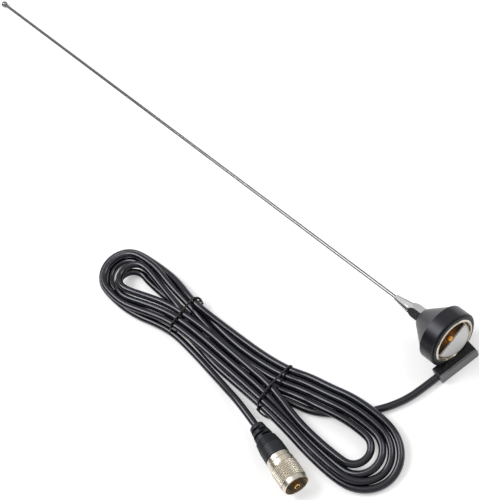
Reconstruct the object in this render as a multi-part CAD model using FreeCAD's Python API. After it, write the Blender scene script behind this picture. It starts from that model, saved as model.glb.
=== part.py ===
import FreeCAD, Part
import math
import os

from FreeCAD import Placement, Rotation, Vector

# A vehicle whip antenna with a screw-on cup base, and its mount on a tied coil of coaxial cable.
# Millimetres. +Y runs along the whip from the cup's mouth to the tip, +Z is up, and the floor is Z = 0.
# The origin is under the middle of the antenna. It lies on the rear edge of its cup and on its tip ball.

# Driving dimensions of the whip and its holder
WHIP_R = 1.1
WHIP_LENGTH = 504.0
BALL_R = 2.6
BALL_SEAT = 1.9
HOLDER_LENGTH = 24.0
HOLDER_TOP_R = 2.5
HOLDER_HEX = 10.3
HOLDER_BASE_R = 5.85
HOLDER_STRAIGHT = 6.5
HOLDER_BLEND = 14.0
HOLDER_EASE = 0.4
WHIP_FLOOR = 1.9
SET_SCREW_R = 1.25
SET_SCREW_LENGTH = 3.3
SET_SCREW_SOCKET = 1.3
SET_SCREW_SOCKET_DEPTH = 1.2
SET_SCREW_LIFT = 1.2
SET_SCREW_TURNS = (60, 120)

# Driving dimensions of the cup base
SHELL_R = 19.0
SHELL_SKIRT = 10.4
SHELL_LENGTH = 25.9
SHELL_NECK_R = 6.5
SHELL_SHOULDER = 0.9
SHELL_WALL = 2.6
RIM_BEVEL = 0.45
RING_BORE_R = 13.87
RING_WALL = 1.76
RING_PROUD = 1.45
RING_DEPTH = 9.4
RING_SHOULDER = 0.4
RING_CHAMFER = 0.3
CAVITY_DEPTH = 13.2
DISC_THICK = 2.2
STUD_R = 2.9
STUD_FLANGE_R = 4.6
STUD_FLANGE = 1.0
STUD_GRIP = 4.6
STUD_POINT = 0.5
TIP_R = 1.7
TIP_LENGTH = 2.1
TIP_DOME = 1.2
GASKET_WIDTH = 1.9
GASKET_THICK = 2.1
GASKET_PROUD = 1.0

# Driving dimensions of the mount that sits loosely in the cup's mouth
MOUNT_R = 13.4
MOUNT_RIM = 0.8
MOUNT_FLANGE = 2.2
MOUNT_POCKET = 1.3
MOUNT_HUB_R = 9.5
MOUNT_HUB = 3.6
PLATE_EDGE = 2.4
PLATE_TURN = 20.0
BUSH_R = 2.6
BUSH_PROUD = 0.5
CONTACT_R = 1.5
CONTACT_HEAD = 0.45
CONTACT_PROUD = 1.5
CONTACT_DOME = 1.1
CONTACT_TAIL = 0.5
MOUNT_SHIFT = -0.1
MOUNT_DEPTH = 1.95
MOUNT_DROP = 0.25
MOUNT_TILT = 18.0
MOUNT_TURN = -9.0

# Driving dimensions of the cable housing under the mount
HOUSING_LENGTH = 29.0
HOUSING_DEPTH = 8.8
HOUSING_HEIGHT = 7.5
HOUSING_X = -6.3
HOUSING_Y = -4.3
HOUSING_CORNER = 2.0
HOUSING_EDGE = 0.6
LID_THICK = 1.5
LID_GROOVE = 0.35
TONGUE_INSET = 1.0
RECESS_GAP = 0.5
RECESS_FRONT = 2.4
CUP_GAP = 0.4

# Driving dimensions of the cable and its coil
CABLE_R = 2.5
CABLE_RISE = 0.5
COIL_HEIGHT = 11.0
COIL_ROUND = 1.8
TIE_WIDTH = 2.2
TIE_THICK = 1.5
TIE_ROUND = 4.0

# Driving dimensions of the plug
NUT_R = 9.0
NUT_LENGTH = 19.2
NUT_BORE_R = 7.6
NUT_COLLAR = 3.6
NUT_NECK = 0.6
NUT_BAND = 3.4
NUT_STEP = 0.35
NUT_LIP = 3.2
NUT_LEAD = 0.7
KNURLS = 44
KNURL_DEPTH = 0.45
BARREL_R = 6.3
BARREL_COLLAR_R = 8.2
BARREL_COLLAR = 3.4
SHOULDER = 2.0
SLEEVE_WALL = 1.0
SLEEVE_R = 6.6
SLEEVE_SETBACK = 8.5
SLEEVE_FLOOR = 1.0
SLEEVE_NOTCHES = 4
NOTCH_WIDTH = 1.4
NOTCH_DEPTH = 1.2
PIN_R = 2.0
PIN_PROUD = 0.9
PIN_ROUND = 0.55
PIN_BORE_R = 1.3
PIN_BORE_DEPTH = 5.0
PIN_SHANK_R = 1.7
INSULATOR_LENGTH = 5.0
INSULATOR_REAR_R = 3.2
CRIMP_R = 4.2
CRIMP_LENGTH = 11.0
BOOT_LENGTH = 27.6
BOOT_FLARE = 8.0
BOOT_FLARE_R = 8.3
BOOT_SHOULDER_R = 7.5
BOOT_GROOVES = 4
BOOT_GROOVE_PITCH = 1.5
BOOT_GROOVE = 0.5
BOOT_GROOVE_DEPTH = 0.5
BOOT_WAIST_R = 5.9
BOOT_NECK_R = 5.2
BOOT_NECK = 3.0
BOOT_TAIL_R = 4.3
BOOT_SLOTS = 4
BOOT_SLOT = 1.4
BOOT_SLOT_PITCH = 2.15
BOOT_SLOT_FLOOR = 0.35
PLUG_X = -130.45
PLUG_Y = 12.5
PLUG_TURN = 11.2

# Clearances between pieces that seat in one another, and the bevel that breaks a sharp edge
FIT = 0.05
SPIN_FIT = 0.08
END_PLAY = 0.3
BREAK = 0.3

# The cable's routes, in X and Y from the middle of the cup's mouth and Z from the floor
MOUNT_LEAD = [(-32.4, -0.2, 3.0), (-43.2, 2.4, 2.7), (-53.2, 7.0, 2.5), (-62.6, 13.2, 2.5)]
PLUG_LEAD = [
    (-112.0, 160.5, 4.2), (-112.6, 139.0, 2.8), (-114.2, 118.0, 2.9), (-115.8, 98.5, 5.6), (-117.3, 81.0, 8.8),
]

# The coil's outline, in X and Y from the middle of the cup's mouth
COIL_OUTLINE = [
    (-115.5, 245.5), (-106.1, 251.4), (-96.0, 249.7), (-88.0, 241.5), (-83.0, 228.0), (-81.2, 212.0), (-82.2, 190.0),
    (-83.6, 168.0), (-83.4, 145.0), (-82.2, 120.0), (-80.0, 98.0), (-75.8, 73.3), (-68.2, 47.8), (-62.4, 25.0),
    (-61.0, 6.2), (-63.6, -9.8), (-70.7, -21.5), (-80.5, -28.4), (-91.0, -29.2), (-101.5, -23.8), (-109.6, -13.0),
    (-113.6, 5.0), (-113.4, 25.0), (-111.4, 47.0), (-110.6, 69.0), (-110.9, 98.0), (-111.2, 130.0), (-112.4, 158.0),
    (-117.6, 178.0), (-122.2, 193.0), (-124.9, 209.0), (-124.5, 223.7), (-121.2, 236.6),
]
NEAR_HOLE = [
    (-97.0, 44.0), (-89.0, 33.0), (-82.0, 14.0), (-80.5, -2.0), (-86.0, -5.5), (-93.5, 0.5), (-98.0, 12.0),
    (-99.4, 29.0),
]
FAR_HOLE = [
    (-100.6, 226.0), (-97.2, 214.0), (-97.6, 200.0), (-99.4, 186.0), (-102.4, 200.0), (-103.4, 214.0),
]
TIES = {"tie_far": (-83.7, 166.5, -112.8, 163.0), "tie_near": (-76.6, 76.5, -110.7, 72.5)}

# Worked out from the above
RING_R = RING_BORE_R + RING_WALL
HOLDER_AT = SHELL_LENGTH
WHIP_AT = HOLDER_AT + STUD_GRIP + WHIP_FLOOR
BALL_AT = WHIP_AT + WHIP_LENGTH + BALL_R - BALL_SEAT
EDGE_AT = SHELL_SKIRT - RIM_BEVEL
REACH = math.hypot(SHELL_R, BALL_AT - EDGE_AT)
PITCH = math.acos(BALL_R / REACH) - math.atan2(BALL_AT - EDGE_AT, SHELL_R)
MOUTH_Z = SHELL_R * math.cos(PITCH) + EDGE_AT * math.sin(PITCH)
FRONT_Y = -(SHELL_R - RIM_BEVEL) * math.sin(PITCH)
REAR_Y = BALL_AT * math.cos(PITCH) + BALL_R
MOUTH_Y = -(FRONT_Y + REAR_Y) / 2

Z_AXIS = Vector(0, 0, 1)
ANTENNA = Placement(Vector(0, 0, MOUTH_Z), Rotation(Vector(1, 0, 0), -90 - math.degrees(PITCH)))
MOUNT = Placement(
    Vector(MOUNT_SHIFT, MOUNT_DEPTH, MOUTH_Z - MOUNT_DROP),
    Rotation(Z_AXIS, MOUNT_TURN) * Rotation(Vector(1, 0, 0), 90 - MOUNT_TILT),
)
HOUSING = Placement(Vector(HOUSING_X, HOUSING_Y, 0), Rotation(Z_AXIS, MOUNT_TURN))
PLUG = Placement(
    Vector(PLUG_X, PLUG_Y, NUT_R),
    Rotation(Z_AXIS, -PLUG_TURN) * Rotation(Vector(1, 0, 0), 90),
)


def rounded_profile(corners):
    """Closed wire through (x, y, size) corners: a size rounds its corner, and a negative one bevels it."""
    points = [Vector(x, y, 0) for x, y, _ in corners]
    count = len(points)
    ends = []
    for i, (_, _, size) in enumerate(corners):
        here = points[i]
        back = (points[i - 1] - here).normalize()
        ahead = (points[(i + 1) % count] - here).normalize()
        half = back.getAngle(ahead) / 2
        step = size / math.tan(half) if size > 0 else -size
        bulge = (back + ahead).normalize() * (size / math.sin(half) - size) if size > 0 else Vector()
        ends.append((here + back * step, here + bulge, here + ahead * step, size))
    edges = []
    for i, (start, middle, end, size) in enumerate(ends):
        if size > 0:
            edges.append(Part.Arc(start, middle, end).toShape())
        elif size < 0:
            edges.append(Part.LineSegment(start, end).toShape())
        following = ends[(i + 1) % count][0]
        if end.distanceToPoint(following) > 1e-6:
            edges.append(Part.LineSegment(end, following).toShape())
    return Part.Wire(edges)


def turned(corners):
    """Solid of revolution about Z from (radius, height, corner size) corners."""
    face = Part.Face(rounded_profile(corners))
    face.rotate(Vector(), Vector(1, 0, 0), 90)
    return face.revolve(Vector(), Z_AXIS, 360)


def rod(radius, low, high):
    return Part.makeCylinder(radius, high - low, Vector(0, 0, low))


def ring(inner, outer, low, high):
    return rod(outer, low, high).cut(rod(inner, low, high))


def box(x, y, z):
    """Box between pairs of limits along X, Y and Z."""
    return Part.makeBox(x[1] - x[0], y[1] - y[0], z[1] - z[0], Vector(x[0], y[0], z[0]))


def placed(shape, placement):
    copy = shape.copy()
    copy.Placement = placement.multiply(copy.Placement)
    return copy


# The whip, along Z from the middle of the cup's mouth
def whip_rod():
    return rod(WHIP_R, WHIP_AT, WHIP_AT + WHIP_LENGTH)


def whip_tip_ball():
    ball = Part.makeSphere(BALL_R, Vector(0, 0, BALL_AT))
    return ball.cut(rod(WHIP_R, WHIP_AT, WHIP_AT + WHIP_LENGTH))


def set_screw_at(turn, extra, reach):
    """Radial rod through one flat of the holder, into the whip's bore."""
    screw = Part.makeCylinder(SET_SCREW_R + extra, reach, Vector(0, 0, 0))
    screw.Placement = Placement(
        Vector(0, 0, WHIP_AT + SET_SCREW_R + SET_SCREW_LIFT),
        Rotation(Z_AXIS, turn) * Rotation(Vector(0, 1, 0), 90),
    )
    screw.translate(screw.Placement.Rotation.multVec(Z_AXIS) * (WHIP_R + FIT))
    return screw


def whip_holder():
    """Hexagonal bar turned to a slim cone, which leaves a scallop at the end of each flat."""
    cone_at = HOLDER_AT + HOLDER_STRAIGHT
    top = HOLDER_AT + HOLDER_LENGTH
    body = turned([
        (0, HOLDER_AT, 0), (HOLDER_BASE_R, HOLDER_AT, -HOLDER_EASE), (HOLDER_BASE_R, cone_at, HOLDER_BLEND),
        (HOLDER_TOP_R, top, -HOLDER_EASE), (0, top, 0),
    ])
    across_corners = HOLDER_HEX / 2 / math.cos(math.pi / 6)
    corners = [Vector(0, across_corners, HOLDER_AT)]
    for i in range(1, 7):
        turn = math.pi / 3 * i
        corners.append(Vector(-across_corners * math.sin(turn), across_corners * math.cos(turn), HOLDER_AT))
    hexagon = Part.Face(Part.makePolygon(corners)).extrude(Vector(0, 0, HOLDER_LENGTH))
    body = body.common(hexagon)
    body = body.cut(rod(WHIP_R + FIT, WHIP_AT, top + 1))
    body = body.cut(rod(STUD_R, HOLDER_AT - 1, HOLDER_AT + STUD_GRIP))
    for turn in SET_SCREW_TURNS:
        body = body.cut(set_screw_at(turn, FIT, HOLDER_HEX))
    return body


def holder_set_screws():
    screws = []
    for turn in SET_SCREW_TURNS:
        screw = set_screw_at(turn, 0, SET_SCREW_LENGTH)
        along = screw.Placement.Rotation.multVec(Z_AXIS)
        side = screw.Placement.Rotation.multVec(Vector(1, 0, 0))
        outer = screw.Placement.Base + along * SET_SCREW_LENGTH
        corners = []
        for i in range(7):
            spoke = Rotation(along, 60 * i).multVec(side) * (SET_SCREW_SOCKET / math.sqrt(3))
            corners.append(outer + spoke)
        socket = Part.Face(Part.makePolygon(corners)).extrude(along * -SET_SCREW_SOCKET_DEPTH)
        screws.append(screw.cut(socket))
    return Part.makeCompound(screws)


# The cup base, along Z from the middle of its mouth
def base_shell():
    """Moulded cup with a straight skirt, a cone up to the neck and stepped seats for what it holds."""
    seat = RING_DEPTH - RING_PROUD
    neck_seat = CAVITY_DEPTH + DISC_THICK
    gasket_seat = GASKET_THICK - GASKET_PROUD
    gasket_side = RING_R + 2 * FIT + GASKET_WIDTH
    disc_r = disc_radius() + FIT
    return turned([
        (gasket_side, 0, 0), (SHELL_R, 0, -RIM_BEVEL), (SHELL_R, SHELL_SKIRT, -RIM_BEVEL),
        (SHELL_R - SHELL_SHOULDER, SHELL_SKIRT, 0), (SHELL_NECK_R, SHELL_LENGTH, -BREAK),
        (STUD_R + FIT, SHELL_LENGTH, 0), (STUD_R + FIT, neck_seat, 0), (disc_r, neck_seat, 0),
        (disc_r, CAVITY_DEPTH, 0), (RING_BORE_R - RING_SHOULDER, seat, 0), (RING_R + FIT, seat, 0),
        (RING_R + FIT, gasket_seat, 0), (gasket_side, gasket_seat, 0),
    ])


def disc_radius():
    """The insulating disc is as wide as the cone's wall allows at its depth."""
    slope = (SHELL_R - SHELL_SHOULDER - SHELL_NECK_R) / (SHELL_LENGTH - SHELL_SKIRT)
    outside = SHELL_R - SHELL_SHOULDER - slope * (CAVITY_DEPTH + DISC_THICK - SHELL_SKIRT)
    return outside - SHELL_WALL


def rim_gasket():
    """Rubber ring round the thread ring, a little proud of the rim so that it seals on a panel."""
    inner = RING_R + FIT
    seat = GASKET_THICK - GASKET_PROUD
    return turned([
        (inner, -GASKET_PROUD, 0), (inner + GASKET_WIDTH, -GASKET_PROUD, -RIM_BEVEL),
        (inner + GASKET_WIDTH, seat, 0), (inner, seat, 0),
    ])


def base_thread_ring():
    high = RING_DEPTH - RING_PROUD
    return turned([
        (RING_BORE_R, -RING_PROUD, -RING_CHAMFER), (RING_R, -RING_PROUD, -RING_CHAMFER), (RING_R, high, 0),
        (RING_BORE_R, high, 0),
    ])


def contact_disc():
    return ring(STUD_R + FIT, disc_radius(), CAVITY_DEPTH, CAVITY_DEPTH + DISC_THICK)


def contact_stud():
    """Brass stud through the neck, with a flange on the insulating disc and a domed contact tip."""
    flange = CAVITY_DEPTH - STUD_FLANGE
    end = HOLDER_AT + STUD_GRIP
    return turned([
        (0, flange - TIP_LENGTH, 0), (TIP_R, flange - TIP_LENGTH, TIP_DOME), (TIP_R, flange, 0),
        (STUD_FLANGE_R, flange, -BREAK), (STUD_FLANGE_R, CAVITY_DEPTH, 0), (STUD_R, CAVITY_DEPTH, 0),
        (STUD_R, end, -STUD_POINT), (0, end, 0),
    ])


# The mount, with Z out of its visible face
def pocket_radius():
    return MOUNT_R - MOUNT_RIM


def mount_body():
    low = -MOUNT_FLANGE - MOUNT_HUB
    return turned([
        (BUSH_R + FIT, -MOUNT_POCKET, 0), (pocket_radius(), -MOUNT_POCKET, 0), (pocket_radius(), 0, 0),
        (MOUNT_R, 0, -BREAK), (MOUNT_R, -MOUNT_FLANGE, -BREAK), (MOUNT_HUB_R, -MOUNT_FLANGE, 0),
        (MOUNT_HUB_R, low, -BREAK), (BUSH_R + FIT, low, 0),
    ])


def mount_face_plate():
    """Pale plate that fills the pocket below its straight edge."""
    plate = rod(pocket_radius() - FIT, -MOUNT_POCKET, 0)
    clear = box((-MOUNT_R, MOUNT_R), (-PLATE_EDGE, MOUNT_R), (-MOUNT_FLANGE, MOUNT_FLANGE))
    clear.rotate(Vector(), Z_AXIS, PLATE_TURN)
    return plate.cut(clear).cut(rod(BUSH_R + FIT, -MOUNT_FLANGE, MOUNT_FLANGE))


def mount_insulator():
    low = -MOUNT_FLANGE - MOUNT_HUB
    return turned([
        (CONTACT_R + FIT, low, 0), (BUSH_R, low, 0), (BUSH_R, BUSH_PROUD - MOUNT_POCKET, -BREAK),
        (CONTACT_R + FIT, BUSH_PROUD - MOUNT_POCKET, 0),
    ])


def mount_contact():
    low = -MOUNT_FLANGE - MOUNT_HUB
    seat = BUSH_PROUD - MOUNT_POCKET
    top = seat + CONTACT_PROUD
    head = CONTACT_R + CONTACT_HEAD
    tail = low - CONTACT_TAIL
    return turned([
        (0, tail, 0), (CONTACT_R, tail, -BREAK), (CONTACT_R, seat, 0), (head, seat, 0),
        (head, top, CONTACT_DOME), (0, top, 0),
    ])


# The cable housing, with Z up, its length along X and its middle on the floor
def housing_blank(y_low, y_high, high):
    half = HOUSING_LENGTH / 2
    round_r = HOUSING_CORNER
    outline = rounded_profile([
        (-half, 0, -BREAK), (half, 0, round_r), (half, high, HOUSING_EDGE), (-half, high, HOUSING_EDGE),
    ])
    blank = Part.Face(outline).extrude(Vector(0, 0, y_high - y_low))
    blank.Placement = Placement(Vector(0, y_high, 0), Rotation(Vector(1, 0, 0), 90))
    return blank


def mount_relief():
    """Scoop in the housing that clears the mount's flange."""
    relief = rod(MOUNT_R + RECESS_GAP, -MOUNT_FLANGE - MOUNT_HUB, RECESS_FRONT)
    return placed(relief, MOUNT)


def cup_relief():
    """Room for the cup's rim, and for the ring and gasket that stand proud of it."""
    rim = rod(SHELL_R + CUP_GAP, -CUP_GAP, SHELL_LENGTH)
    face = rod(RING_R + FIT + GASKET_WIDTH + CUP_GAP, -RING_PROUD - CUP_GAP, 0)
    return placed(rim.fuse(face), ANTENNA)


def cable_housing():
    half = HOUSING_DEPTH / 2
    body = placed(housing_blank(-half + LID_THICK + LID_GROOVE, half, HOUSING_HEIGHT), HOUSING)
    tongue = placed(
        box(
            (-HOUSING_LENGTH / 2 + TONGUE_INSET, HOUSING_LENGTH / 2 - HOUSING_CORNER),
            (-half + LID_THICK, -half + LID_THICK + LID_GROOVE),
            (TONGUE_INSET, HOUSING_HEIGHT - HOUSING_EDGE),
        ),
        HOUSING,
    )
    return body.fuse(tongue).cut(mount_relief()).cut(cup_relief()).removeSplitter()


def housing_lid():
    half = HOUSING_DEPTH / 2
    return placed(housing_blank(-half, -half + LID_THICK, HOUSING_HEIGHT), HOUSING)


# The cable
def route_wire(name, points):
    """Straight runs with a tangent arc at each point, as large as its two runs allow."""
    edges = []
    here = points[0]
    radii = []
    for before, corner, after in zip(points, points[1:], points[2:]):
        back = before - corner
        ahead = after - corner
        turn = math.pi - back.getAngle(ahead)
        radius = 0.45 * min(back.Length, ahead.Length) / math.tan(turn / 2)
        step = radius * math.tan(turn / 2)
        back.normalize()
        ahead.normalize()
        start = corner + back * step
        end = corner + ahead * step
        middle = corner + (back + ahead).normalize() * (radius / math.cos(turn / 2) - radius)
        edges.append(Part.LineSegment(here, start).toShape())
        edges.append(Part.Arc(start, middle, end).toShape())
        here = end
        radii.append(round(radius, 1))
    edges.append(Part.LineSegment(here, points[-1]).toShape())
    wire = Part.Wire(edges)
    print(name, "length", round(wire.Length, 1), "radii", radii)
    return wire


def tube(name, points):
    wire = route_wire(name, points)
    start = points[0]
    section = Part.Wire(Part.makeCircle(CABLE_R, start, points[1] - start))
    solid = wire.makePipeShell([section], True, False)
    expected = math.pi * CABLE_R ** 2 * wire.Length
    print(name, "volume over section times length", round(solid.Volume / expected, 4))
    return solid


def cable_lead_mount():
    exit_point = HOUSING.multVec(Vector(-HOUSING_LENGTH / 2, 0, CABLE_R + CABLE_RISE))
    return tube("cable_lead_mount", [exit_point] + [Vector(*p) for p in MOUNT_LEAD])


def boot_tail():
    return PLUG.multVec(Vector(0, 0, -(boot_front() + BOOT_LENGTH)))


def cable_lead_plug():
    return tube("cable_lead_plug", [Vector(*p) for p in PLUG_LEAD] + [boot_tail()])


def closed_curve(points):
    curve = Part.BSplineCurve()
    curve.interpolate(Points=[Vector(x, y, 0) for x, y in points], PeriodicFlag=True)
    return Part.Face(Part.Wire(curve.toShape()))


def cable_coil():
    """Outer shape of the tied coil: a long ring, pinched between its ties, with a hole in each end."""
    face = closed_curve(COIL_OUTLINE)
    coil = face.extrude(Vector(0, 0, COIL_HEIGHT))
    coil = coil.makeChamfer(COIL_ROUND, [e for e in coil.Edges if e.Length > COIL_HEIGHT + CABLE_R])
    for hole in (NEAR_HOLE, FAR_HOLE):
        coil = coil.cut(closed_curve(hole).extrude(Vector(0, 0, COIL_HEIGHT)))
    for ends in TIES.values():
        coil = coil.cut(tie_band(ends, 2 * FIT))
    return coil


def tie_band(ends, extra):
    """Flat band round the coil, in the upright plane through two points on the coil's sides."""
    x0, y0, x1, y1 = ends
    span = math.hypot(x1 - x0, y1 - y0)
    low = -extra
    high = COIL_HEIGHT + TIE_THICK / 2 + extra
    outer_half = span / 2 + TIE_THICK / 2 + extra
    wall = TIE_THICK + 2 * extra
    outer = rounded_profile([
        (s * outer_half, z, TIE_ROUND) for s, z in ((-1, low), (1, low), (1, high), (-1, high))
    ])
    inner_half = outer_half - wall
    inner = rounded_profile([
        (s * inner_half, z, TIE_ROUND - TIE_THICK)
        for s, z in ((-1, low + wall), (1, low + wall), (1, high - wall), (-1, high - wall))
    ])
    band = Part.Face(outer).cut(Part.Face(inner))
    width = TIE_WIDTH + 2 * extra
    solid = band.extrude(Vector(0, 0, width))
    solid.translate(Vector(0, 0, -width / 2))
    heading = math.degrees(math.atan2(y0 - y1, x0 - x1))
    upright = Placement(
        Vector((x0 + x1) / 2, (y0 + y1) / 2, 0), Rotation(Z_AXIS, heading) * Rotation(Vector(1, 0, 0), 90)
    )
    return placed(solid, upright)


# The plug, with Z out of its open end
def nut_rear():
    return -NUT_LENGTH


def lip_front():
    return nut_rear() + NUT_LIP


def barrel_shoulder():
    return lip_front() + END_PLAY


def boot_front():
    """Distance from the nut's open end back to the boot's front face."""
    return NUT_LENGTH + END_PLAY + BARREL_COLLAR + FIT


def coupling_nut():
    """Knurled nut, free to turn on the barrel behind the barrel's shoulder."""
    smooth = NUT_R - NUT_STEP
    band = -NUT_BAND
    collar = nut_rear() + NUT_COLLAR
    knurl = collar + NUT_NECK
    bore = BARREL_R + SPIN_FIT
    blank = turned([
        (bore, nut_rear(), 0), (smooth, nut_rear(), -BREAK), (smooth, collar, 0), (smooth - NUT_STEP, collar, 0),
        (smooth - NUT_STEP, knurl, 0), (NUT_R, knurl, 0), (NUT_R, band, 0), (smooth, band, 0),
        (smooth, 0, -2 * BREAK), (NUT_BORE_R, 0, -NUT_LEAD), (NUT_BORE_R, lip_front(), 0), (bore, lip_front(), 0),
    ])
    return blank.cut(knurl_cutters(knurl, band))


def knurl_cutters(low, high):
    """Ring of V grooves round the nut's band, as one star-shaped collar."""
    points = []
    for i in range(2 * KNURLS):
        turn = math.pi * i / KNURLS
        radius = NUT_R + FIT if i % 2 else NUT_R - KNURL_DEPTH
        points.append(Vector(radius * math.cos(turn), radius * math.sin(turn), low))
    star = Part.Face(Part.makePolygon(points + points[:1]))
    around = Part.Face(Part.Wire(Part.makeCircle(NUT_R + 1, Vector(0, 0, low))))
    return around.cut(star).extrude(Vector(0, 0, high - low))


def plug_body():
    """Barrel with a captive shoulder, a notched front sleeve, a rear collar and a crimp tail."""
    shoulder = barrel_shoulder()
    sleeve_low = shoulder + SHOULDER
    collar = nut_rear() - END_PLAY
    rear = collar - BARREL_COLLAR
    tail = rear - CRIMP_LENGTH
    bore = SLEEVE_R - SLEEVE_WALL
    collar_r = NUT_BORE_R - END_PLAY
    body = turned([
        (CABLE_R + FIT, tail, 0), (CRIMP_R, tail, -BREAK), (CRIMP_R, rear, 0), (BARREL_COLLAR_R, rear, -BREAK),
        (BARREL_COLLAR_R, collar, -BREAK), (BARREL_R, collar, 0), (BARREL_R, shoulder, 0), (collar_r, shoulder, 0),
        (collar_r, sleeve_low, 0), (SLEEVE_R, sleeve_low, 0), (SLEEVE_R, -SLEEVE_SETBACK, -BREAK),
        (bore, -SLEEVE_SETBACK, 0), (bore, insulator_seat(), 0), (INSULATOR_REAR_R, insulator_seat(), 0),
        (INSULATOR_REAR_R, rear, 0), (CABLE_R + FIT, rear, 0),
    ])
    for i in range(SLEEVE_NOTCHES):
        notch = box((0, SLEEVE_R + FIT), (-NOTCH_WIDTH / 2, NOTCH_WIDTH / 2), (-SLEEVE_SETBACK - NOTCH_DEPTH, 0))
        notch.rotate(Vector(), Z_AXIS, 45 + 360 * i / SLEEVE_NOTCHES)
        body = body.cut(notch)
    return body


def insulator_seat():
    return barrel_shoulder() + SHOULDER - SLEEVE_FLOOR


def insulator_front():
    return insulator_seat() + INSULATOR_LENGTH


def insulator_rear():
    return nut_rear() - END_PLAY - BARREL_COLLAR


def plug_insulator():
    wide = SLEEVE_R - SLEEVE_WALL - FIT
    narrow = INSULATOR_REAR_R - FIT
    bore = PIN_SHANK_R + FIT
    return turned([
        (bore, insulator_rear(), 0), (narrow, insulator_rear(), 0), (narrow, insulator_seat(), 0),
        (wide, insulator_seat(), 0), (wide, insulator_front(), -BREAK), (bore, insulator_front(), 0),
    ])


def plug_pin():
    """Tubular centre contact that seats on the insulator's face, with a thinner shank through it."""
    bore_end = PIN_PROUD - PIN_BORE_DEPTH
    return turned([
        (0, insulator_rear(), 0), (PIN_SHANK_R, insulator_rear(), 0), (PIN_SHANK_R, insulator_front(), 0),
        (PIN_R, insulator_front(), 0), (PIN_R, PIN_PROUD, PIN_ROUND), (PIN_BORE_R, PIN_PROUD, 0),
        (PIN_BORE_R, bore_end, 0), (0, bore_end, 0),
    ])


def strain_relief_boot():
    """Moulded boot: a flare at the plug, fine grooves, and a slotted tail that bends with the cable."""
    front = -boot_front()
    rear = front - BOOT_LENGTH
    crimp_end = front - CRIMP_LENGTH - FIT
    shoulder = front - BOOT_FLARE
    outline = [(CRIMP_R + FIT, front, 0), (BOOT_FLARE_R, front, -BREAK), (BOOT_SHOULDER_R, shoulder, 0)]
    thinning = (BOOT_SHOULDER_R - BOOT_WAIST_R) / (BOOT_GROOVES * BOOT_GROOVE_PITCH + BOOT_GROOVE)
    for i in range(BOOT_GROOVES):
        edge = (i + 1) * BOOT_GROOVE_PITCH
        edge_r = BOOT_SHOULDER_R - thinning * edge
        floor_r = edge_r - BOOT_GROOVE_DEPTH
        far_edge_r = edge_r - thinning * BOOT_GROOVE
        outline += [
            (edge_r, shoulder - edge, 0), (floor_r, shoulder - edge, 0), (floor_r, shoulder - edge - BOOT_GROOVE, 0),
            (far_edge_r, shoulder - edge - BOOT_GROOVE, 0),
        ]
    neck = outline[-1][1] - BOOT_NECK
    outline += [
        (BOOT_NECK_R, neck, 0), (BOOT_TAIL_R, rear, -BREAK), (CABLE_R, rear, 0), (CABLE_R, crimp_end, 0),
        (CRIMP_R + FIT, crimp_end, 0),
    ]
    boot = turned(outline)
    for i in range(BOOT_SLOTS):
        low = rear + BOOT_SLOT_PITCH * (i + 1) - BOOT_SLOT
        across = (-BOOT_FLARE_R, BOOT_FLARE_R)
        slot = box(across, (CABLE_R + BOOT_SLOT_FLOOR, BOOT_FLARE_R), (low, low + BOOT_SLOT))
        slot.rotate(Vector(), Z_AXIS, 90 * (i + 1))
        opposite = slot.copy()
        opposite.rotate(Vector(), Z_AXIS, 180)
        boot = boot.cut(slot).cut(opposite)
    return boot


ANTENNA_PIECES = [
    whip_rod, whip_tip_ball, whip_holder, holder_set_screws, base_shell, rim_gasket, base_thread_ring,
    contact_disc, contact_stud,
]
MOUNT_PIECES = [mount_body, mount_face_plate, mount_insulator, mount_contact]
PLUG_PIECES = [coupling_nut, plug_body, plug_insulator, plug_pin, strain_relief_boot]
TABLE_PIECES = [cable_housing, housing_lid, cable_lead_mount, cable_coil, cable_lead_plug]


def main():
    os.makedirs("parts", exist_ok=True)
    pieces = {}
    for build in ANTENNA_PIECES:
        pieces[build.__name__] = placed(build(), ANTENNA)
    for build in MOUNT_PIECES:
        pieces[build.__name__] = placed(build(), MOUNT)
    for build in PLUG_PIECES:
        pieces[build.__name__] = placed(build(), PLUG)
    for build in TABLE_PIECES:
        pieces[build.__name__] = build()
    for name, ends in TIES.items():
        pieces[name] = tie_band(ends, 0)
    for name, shape in pieces.items():
        shape.translate(Vector(0, MOUTH_Y, 0))
        shape.exportStep("parts/" + name + ".step")
        print(name, "solids", len(shape.Solids), "valid", shape.isValid(), "volume", round(shape.Volume, 1))


main()
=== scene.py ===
import math

import bpy
from mathutils import Matrix, Vector
from mathutils.geometry import convex_hull_2d


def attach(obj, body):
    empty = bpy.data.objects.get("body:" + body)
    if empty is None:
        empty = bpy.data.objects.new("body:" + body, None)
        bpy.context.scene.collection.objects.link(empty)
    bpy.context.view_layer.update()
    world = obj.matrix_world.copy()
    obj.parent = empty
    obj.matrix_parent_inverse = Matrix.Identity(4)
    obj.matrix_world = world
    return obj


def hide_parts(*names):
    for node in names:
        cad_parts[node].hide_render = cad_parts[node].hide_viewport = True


# A vehicle whip antenna with its cup base, its mount, and its coaxial cable tied in a long coil.
# Metres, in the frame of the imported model. MOUTH is under the middle of the cup's mouth, on the floor.

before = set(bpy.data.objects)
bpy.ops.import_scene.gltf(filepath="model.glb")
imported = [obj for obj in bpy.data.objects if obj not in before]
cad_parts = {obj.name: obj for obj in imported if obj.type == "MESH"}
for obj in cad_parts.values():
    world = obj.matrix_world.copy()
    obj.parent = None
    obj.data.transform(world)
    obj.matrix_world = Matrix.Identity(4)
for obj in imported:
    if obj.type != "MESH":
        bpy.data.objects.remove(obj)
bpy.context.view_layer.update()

MM = 0.001
MOUTH = Vector((0, -0.26943, 0))

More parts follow.
